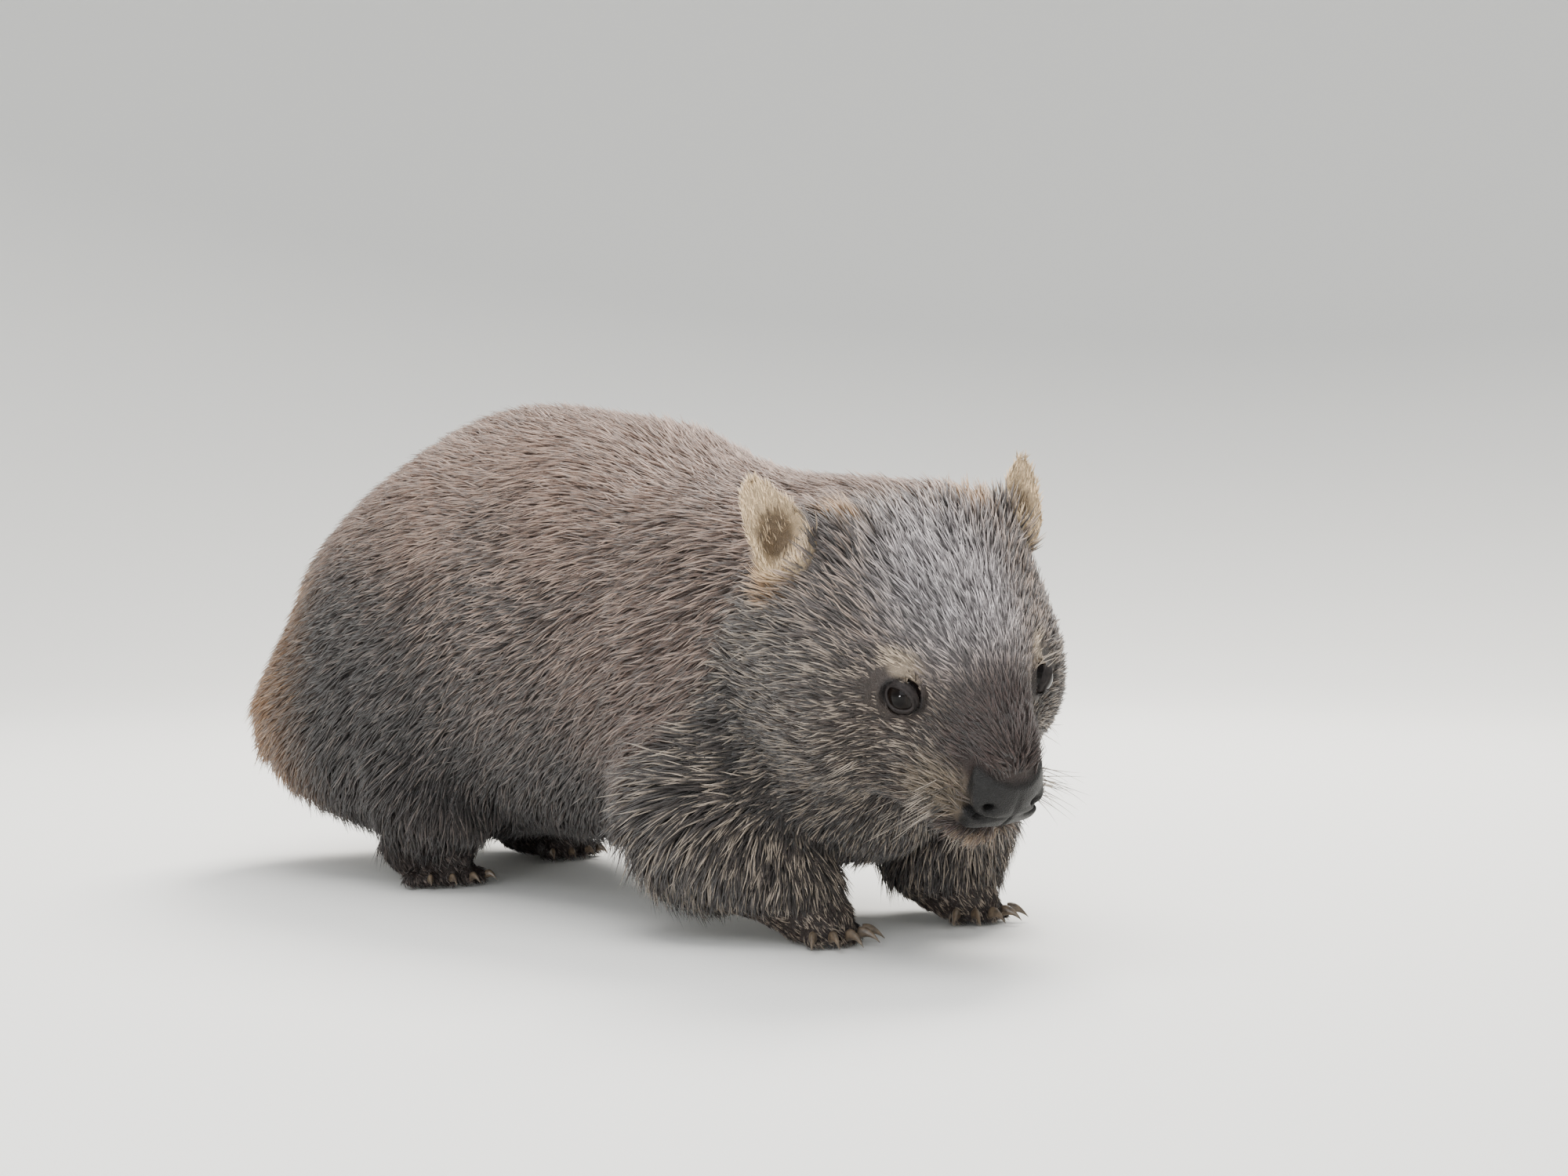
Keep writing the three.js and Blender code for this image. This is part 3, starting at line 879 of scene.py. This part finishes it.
def surface_samples(mesh, per_metre2, weight_of):
    """Random places on a mesh, with their normals, as dense as asked where the weight is 1."""
    mesh.calc_loop_triangles()
    tri = np.empty(len(mesh.loop_triangles) * 3, dtype=np.int64)
    mesh.loop_triangles.foreach_get("vertices", tri)
    tri = tri.reshape(-1, 3)
    co, normal = points_of(mesh), normals_of(mesh)
    a, b, c = co[tri[:, 0]], co[tri[:, 1]], co[tri[:, 2]]
    area = np.linalg.norm(np.cross(b - a, c - a), axis=1) / 2
    centre = (a + b + c) / 3
    expected = area * per_metre2 * weight_of(centre)
    number = rng.poisson(expected)
    which = np.repeat(np.arange(len(tri)), number)
    r1, r2 = rng.random(len(which)), rng.random(len(which))
    flip = r1 + r2 > 1
    r1[flip], r2[flip] = 1 - r1[flip], 1 - r2[flip]
    t = tri[which]
    w = np.stack([1 - r1 - r2, r1, r2], axis=1)[:, :, None]
    return (co[t] * w).sum(1), unit((normal[t] * w).sum(1))


def coat_weight(points):
    """How dense the tufts stand: closer and finer on the face, few on the belly and soles."""
    q = to_head(points)
    face = fade(q[:, 0], -110, 0)
    weight = 1.0 + 1.5 * face
    weight *= 1 - nose_pad(points)
    weight *= 1 + 1.4 * ears(points)
    weight *= 1 + 0.6 * near_feet(points)
    weight *= 1 - 0.55 * (1 - fade(points[:, 2], 0.02, 0.06)) * (1 - near_feet(points))
    weight *= fade(points[:, 2], 0.001, 0.006)
    return weight * fade(from_eye(points), 0.84, 0.96)


# The most tufts in one piece and in all, and how many stand on a square metre where the weight is 1
TUFTS_PER_PIECE = 19_500
COAT_TUFTS = 136_000
TUFTS_PER_METRE2 = 150_000.0

# A tuft's length and width in millimetres, and its lift off the skin in degrees
BODY_LENGTH, FACE_LENGTH = 22.0, 11.0
EAR_LENGTH, PAW_LENGTH, RIM_LENGTH = 8.0, 8.0, 4.2
BODY_WIDTH, FACE_WIDTH = 1.5, 1.15
BODY_LIFT = 23


def tuft_forms(roots, face):
    """Each tuft's length and width, in millimetres, and its lift and curl, in radians."""
    count = len(roots)
    ear, paw = ears(roots), near_feet(roots)
    rim = 1 - fade(from_eye(roots), 1.0, 2.2)
    rear = fade(-roots[:, 0], 0.34, 0.39) * (1 - fade(roots[:, 2], 0.14, 0.22))
    shaggy = (0.5 + 0.5 * fade(roots[:, 0], 0.06, 0.16)) * (1 - fade(roots[:, 2], 0.08, 0.15)) * (1 - paw)
    length = between(BODY_LENGTH, FACE_LENGTH, face)
    length *= 1 + 0.35 * rear
    length *= 1 + 0.5 * shaggy
    length = between(length, EAR_LENGTH, ear)
    length = between(length, PAW_LENGTH, paw)
    length = between(length, RIM_LENGTH, rim)
    length *= rng.uniform(0.72, 1.18, count)
    width = between(BODY_WIDTH, FACE_WIDTH, face) * (1 - 0.35 * np.maximum(ear, rim))
    width *= rng.uniform(0.75, 1.2, count)
    lift = np.radians(BODY_LIFT + 10 * rear + 6 * shaggy - 3 * face) * rng.uniform(0.75, 1.3, count)
    lift = lift * (1 - 0.15 * ear) * (1 - 0.6 * rim)
    curl = lift * rng.uniform(0.2, 0.9, count)
    return length, width, lift, curl


def tuft_colours(roots, face):
    """Dark at the root, the place's own colour at the knee, and at the tip pale on some tufts."""
    count = len(roots)
    clump = waves(roots, 0.012, 31)
    uneven = 1 + 0.18 * np.clip(clump, -1.5, 1.5) + rng.normal(0, 1, count) * (0.18 + 0.16 * face)
    tint = coat_colour(roots) * uneven[:, None].clip(0.3, 1.9)
    top = fade(roots[:, 2], 0.12, 0.3)
    chance = 0.30 + 0.20 * top + 0.10 * clump - 0.16 * haunches(roots) + 0.2 * rear_edge(roots)
    pale = rng.random(count) < chance
    shine = (rng.uniform(0.55, 1.0, count) * pale)[:, None]
    tips = tip_colour(roots) * rng.uniform(0.85, 1.15, count)[:, None]
    knee = tint * rng.uniform(0.70, 1.0, count)[:, None]
    plain_tip = tint * rng.uniform(0.6, 1.0, count)[:, None]
    colour = np.empty((count, TUFT_POINTS, 3))
    colour[:, 0:3] = (tint * 0.30)[:, None]
    colour[:, 3:6] = (knee * (1 - 0.35 * shine) + tips * 0.35 * shine)[:, None]
    colour[:, 6] = between(plain_tip, tips, shine)
    return colour


def make_coat(skin):
    roots, normals = surface_samples(skin.data, TUFTS_PER_METRE2, coat_weight)
    keep = rng.permutation(len(roots))[:COAT_TUFTS]
    roots, normals = roots[keep], normals[keep]
    order = np.argsort(roots[:, 0])
    roots, normals = roots[order], normals[order]
    ways = lie_of(roots, normals)
    across = np.cross(normals, ways)
    stray = rng.normal(0, 0.17, len(roots)) + 0.14 * waves(roots, 0.02, 21)
    ways = unit(ways * np.cos(stray)[:, None] + across * np.sin(stray)[:, None])
    face = fade(to_head(roots)[:, 0], -115, 15)
    length, width, lift, curl = tuft_forms(roots, face)
    colour = tuft_colours(roots, face)
    for n, start in enumerate(range(0, len(roots), TUFTS_PER_PIECE)):
        s = slice(start, start + TUFTS_PER_PIECE)
        shape = (length[s] * MM, width[s] * MM, lift[s], curl[s])
        tufts(f"coat_{n + 1}", roots[s], normals[s], ways[s], *shape, colour[s])


def dress_skin(skin):
    """Colour, map and places of the skin."""
    mesh = skin.data
    co = points_of(mesh)
    q = to_head(co)
    lips = line(q[:, 2] - MOUTH_HEIGHT, 3.0) * fade(q[:, 0], 24, 32)
    colour = mix(coat_colour(co) * 0.55, NOSE, nose_pad(co))
    colour = mix(colour, LIPS, 0.8 * lips)
    colour = mix(colour, RIMS, 0.95 * eye_rims(co))
    set_colour(mesh, "tint", colour)
    set_map(mesh, skin_chart(co))
    mesh.materials.append(MATERIALS["skin"])
    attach(skin, "root")
    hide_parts(*FLESH)


# Eyes and lids
EYE_RADIUS = 10.5 * MM


def eye_axes(side):
    """The way an eye looks, the way across it and the way up."""
    look = eye_look(side)
    up = head_way((0.2, 0, 1))[0]
    up = unit(up - look * (up @ look))
    return look, np.cross(look, up), up


def make_eye(side):
    """An eyeball with a slight bulge in front."""
    look, across, up = eye_axes(side)
    rings, around = 28, 40
    vertices, iris = [], []
    for i in range(rings + 1):
        a = math.pi * i / rings
        bulge = 1 + 0.035 * math.exp(-((a / 0.55) ** 2))
        for j in range(around):
            b = 2 * math.pi * j / around
            way = look * math.cos(a) + (across * math.cos(b) + up * math.sin(b)) * math.sin(a)
            vertices.append(EYES[side] + way * EYE_RADIUS * bulge)
            iris.append(min(a / 0.95, 1.0))
    piece = new_piece(f"eyeball_{side}", vertices, turned(ring_faces(rings, around)), "eye")
    set_value(piece.data, "iris", np.array(iris))
    fix_normals(piece, weld=1e-6)
    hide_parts(f"eye_{side}")


# A lid's profile: angle past the opening's edge, in degrees, and height over the eyeball, in millimetres
LID_PROFILE = [
    (2, -0.6), (0, 0.2), (1, 0.8), (5, 1.3), (11, 1.3),
    (15, 0.7), (19, 1.0), (28, 0.7), (42, -0.2), (58, -3.0),
]
# The opening's half width and half height, in degrees, and what share of the height is up and down
LID_OPENING = (46, 32)
LID_UP, LID_DOWN = 0.9, 0.95


def lid_edge(c, s):
    """How far the lids open towards a side, in degrees, with a drawn-out corner at either end."""
    wide, tall = LID_OPENING
    tall = tall * (LID_UP if s > 0 else LID_DOWN)
    return (1 + max(0.0, abs(c) - 0.9)) / math.sqrt((c / wide) ** 2 + (s / tall) ** 2)


def make_lids(side):
    """Both lids of an eye as one ring, thicker above, with soft folds."""
    look, across, up = eye_axes(side)
    around = 56
    vertices = []
    for j in range(around):
        b = 2 * math.pi * j / around
        c, s = math.cos(b), math.sin(b)
        heavy = 1 + 0.35 * max(0.0, s)
        for past, height in LID_PROFILE:
            a = math.radians(lid_edge(c, s) + past)
            fold = 0.22 * math.sin(5 * b + past * 0.25) * (past > 8)
            way = look * math.cos(a) + (across * c + up * s) * math.sin(a)
            vertices.append(EYES[side] + way * (EYE_RADIUS + (height * heavy + fold) * MM))
    n = len(LID_PROFILE)
    faces = []
    for j in range(around):
        here, there = j * n, (j + 1) % around * n
        faces += [(here + k, there + k, there + (k + 1) % n, here + (k + 1) % n) for k in range(n)]
    piece = new_piece(f"lids_{side}", vertices, faces, "lid")
    subdivide(piece, 1)
    fix_normals(piece)


def subdivide(piece, levels):
    step = piece.modifiers.new("smooth", "SUBSURF")
    step.levels = step.render_levels = levels
    apply_modifiers(piece)


# Claws: a bent horn at each solid claw, on the same root and as long
FORE_CLAW, HIND_CLAW = 0.0042, 0.0036
CLAW_TIP = 0.00025


def claw_points(root, tip, radius, rings, around):
    """Rings of points along a claw that arches up a little and tapers to its tip."""
    run = tip - root
    flat = unit(np.array([run[0], run[1], 0.0]))
    across = np.array([-flat[1], flat[0], 0.0])
    length = np.linalg.norm(run[:2])
    drop = root[2] - tip[2]
    vertices = []
    for i in range(rings + 1):
        t = i / rings
        centre = root + flat * (length * (t * 1.12 - 0.12))
        centre = centre + np.array([0, 0, 0.0016 * math.sin(math.pi * t) - drop * t * t])
        r = radius * (1 - t**1.4) + CLAW_TIP
        for j in range(around):
            b = 2 * math.pi * j / around
            lift = math.sin(b) * (1.15 if math.sin(b) > 0 else 0.75)
            p = centre + across * (r * 0.62 * math.cos(b)) + np.array([0, 0, r * 0.9 * lift])
            p[2] = max(p[2], HAIR_LOWEST)
            vertices.append(p)
    return vertices


def make_claws():
    rings, around = 12, 14
    for name in [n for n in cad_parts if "claw" in n]:
        co = points_of(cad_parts[name].data)
        away = np.linalg.norm(co[:, :2] - FOOT_AT[name[: name.index("_claw")]][:2], axis=1)
        tip = co[away.argmax()]
        root = co[away < away.min() + 0.25 * (away.max() - away.min())].mean(0)
        vertices = claw_points(root, tip, FORE_CLAW if "fore" in name else HIND_CLAW, rings, around)
        faces = ring_faces(rings, around)
        faces.append(tuple(range(around)))
        faces.append(tuple(rings * around + j for j in range(around)))
        piece = new_piece(f"{name}_horn", vertices, faces, "horn")
        fix_normals(piece)
        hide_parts(name)


# Whiskers: long tapering hairs from the lip pads, cheeks, brows and chin, with places and ways in the head's
# frame and lengths in millimetres
WHISKERS = [
    {"at": (42, 33, -42), "spread": (12, 5, 8), "way": (0.05, 0.85, -0.45), "count": 26, "length": (24, 54)},
    {"at": (2, 60, -40), "spread": (8, 4, 8), "way": (-0.35, 0.8, -0.5), "count": 7, "length": (26, 42)},
    {"at": (0, 46, 14), "spread": (6, 4, 3), "way": (0.35, 0.5, 0.8), "count": 5, "length": (14, 24)},
    {"at": (42, 10, -70), "spread": (6, 8, 3), "way": (0.3, 0.2, -0.9), "count": 8, "length": (12, 24)},
]


WHISKER_RADIUS = 0.00034
WHISKER_SUNK = 0.002


def whisker_points(root, normal, way, length, droop, steps, around):
    """Rings of points along a hair that bends down and back."""
    back = head_way((-1, 0, 0))[0]
    a = unit(np.cross(way, [0.1, 0.2, 1.0]))
    b = np.cross(way, a)
    vertices = []
    for i in range(steps + 1):
        t = i / steps
        p = root - normal * WHISKER_SUNK + way * length * t
        p = p + (np.array([0, 0, -droop]) + back * 0.25) * length * t * t
        r = WHISKER_RADIUS * (1 - 0.92 * t)
        for j in range(around):
            angle = 2 * math.pi * j / around
            vertices.append(p + (a * math.cos(angle) + b * math.sin(angle)) * r)
    return vertices


def make_whiskers(skin):
    draw = np.random.default_rng(77)
    co, normal = points_of(skin.data), normals_of(skin.data)
    vertices, faces = [], []
    steps, around = 10, 4
    places = [(row, side) for row in WHISKERS for side in BOTH_SIDES for _ in range(row["count"])]
    for row, side in places:
        mirror = np.array([1, side, 1])
        near = np.array(row["at"]) + draw.normal(0, 0.5, 3) * np.array(row["spread"])
        k = np.linalg.norm(co - from_head(near * mirror)[0], axis=1).argmin()
        way = head_way(np.array(row["way"]) * mirror)[0]
        way = unit(way + 0.35 * normal[k] + draw.normal(0, 0.13, 3))
        length = draw.uniform(*row["length"]) * MM
        droop = draw.uniform(0.10, 0.30)
        start = len(vertices)
        vertices += whisker_points(co[k], normal[k], way, length, droop, steps, around)
        faces += ring_faces(steps, around, start)
        faces.append(tuple(start + j for j in reversed(range(around))))
        faces.append(tuple(start + steps * around + j for j in range(around)))
    piece = new_piece("whiskers", vertices, faces, "whisker")
    fix_normals(piece)


# The camera, as the photo's was: its place from the head in metres, and its turn and dip in degrees
CAMERA_FROM_HEAD = (1.05098, -1.02411, 0.0790)
CAMERA_AZIMUTH, CAMERA_DIP = 50.0, 0.885
CAMERA_LENS, CAMERA_SENSOR = 58.25, 36.0


def make_camera():
    data = bpy.data.cameras.new("camera")
    data.sensor_width = CAMERA_SENSOR
    data.lens = CAMERA_LENS
    data.clip_start, data.clip_end = 0.05, 60
    camera = bpy.data.objects.new("camera", data)
    bpy.context.scene.collection.objects.link(camera)
    camera.location = Vector(HEAD_AT + np.array(CAMERA_FROM_HEAD))
    a, dip = math.radians(CAMERA_AZIMUTH), math.radians(CAMERA_DIP)
    ahead = Vector((-math.sin(a) * math.cos(dip), math.cos(a) * math.cos(dip), -math.sin(dip)))
    camera.rotation_euler = ahead.to_track_quat("-Z", "Y").to_euler()
    bpy.context.scene.camera = camera


# The lights shine at one point. The glint's tilt is how far above the eye's middle it shows, in degrees
LIGHTS = [
    {"name": "key", "at": (-1.0, 1.6, 2.6), "size": 1.3, "power": 185, "colour": (1.0, 0.96, 0.90)},
    {"name": "top", "at": (0.1, -0.3, 2.6), "size": 2.2, "power": 80, "colour": (1.0, 0.99, 0.97)},
    {"name": "fill", "at": (1.9, -1.9, 1.5), "size": 2.2, "power": 34, "colour": (0.93, 0.96, 1.0)},
]
LIGHTS_MEET = (0.0, 0.0, 0.15)
GLINT_AWAY, GLINT_TILT = 2.0, 16
SKY, SKY_STRENGTH = (0.95, 0.97, 1.0, 1), 0.62


def glint():
    """A small far light that the near eye mirrors above its middle."""
    look, _, up = eye_axes("right")
    tilt = math.radians(GLINT_TILT)
    bright = look * math.cos(tilt) + up * math.sin(tilt)
    to_camera = unit(HEAD_AT + np.array(CAMERA_FROM_HEAD) - EYES["right"])
    way = 2 * (bright @ to_camera) * bright - to_camera
    at = EYES["right"] + GLINT_AWAY * way
    return {"name": "glint", "at": at, "size": 0.24, "power": 20, "colour": (1.0, 1.0, 1.0)}


def make_lights():
    target = Vector(LIGHTS_MEET)
    for row in [*LIGHTS, glint()]:
        data = bpy.data.lights.new(row["name"], "AREA")
        data.size = row["size"]
        data.energy = row["power"]
        data.color = row["colour"]
        light = bpy.data.objects.new(row["name"], data)
        light.location = row["at"]
        light.rotation_euler = (target - light.location).to_track_quat("-Z", "Y").to_euler()
        bpy.context.scene.collection.objects.link(light)
    world = bpy.data.worlds.new("studio")
    world.use_nodes = True
    background = world.node_tree.nodes["Background"]
    background.inputs["Color"].default_value = SKY
    background.inputs["Strength"].default_value = SKY_STRENGTH
    bpy.context.scene.world = world


def make_floor():
    """A round floor that curves up into a pale wall on every side."""
    flat, curve, wall = 2.3, 3.2, 3.4
    bend = [math.radians(a) for a in range(0, 91, 6)]
    profile = [(0.6, 0.0), (1.6, 0.0)]
    profile += [(flat + curve * math.sin(a), curve * (1 - math.cos(a))) for a in bend]
    profile.append((flat + curve, wall))
    around = 72
    vertices = [(0.0, 0.0, 0.0)]
    for radius, height in profile:
        for j in range(around):
            b = 2 * math.pi * j / around
            vertices.append((radius * math.cos(b), radius * math.sin(b), height))
    faces = [(0, 1 + j, 1 + (j + 1) % around) for j in range(around)]
    faces += turned(ring_faces(len(profile) - 1, around, start=1))
    mesh = bpy.data.meshes.new("floor")
    mesh.from_pydata(vertices, [], faces)
    mesh.shade_smooth()
    m = Nodes("floor")
    m.set(Base_Color=(*linear(238, 238, 235), 1), Roughness=0.8)
    mesh.materials.append(m.material)
    floor = bpy.data.objects.new("floor", mesh)
    bpy.context.scene.collection.objects.link(floor)


make_camera()
make_lights()
make_floor()
skin = make_skin()
dress_skin(skin)
for side in EYES:
    make_eye(side)
    make_lids(side)
make_claws()
make_whiskers(skin)
make_coat(skin)
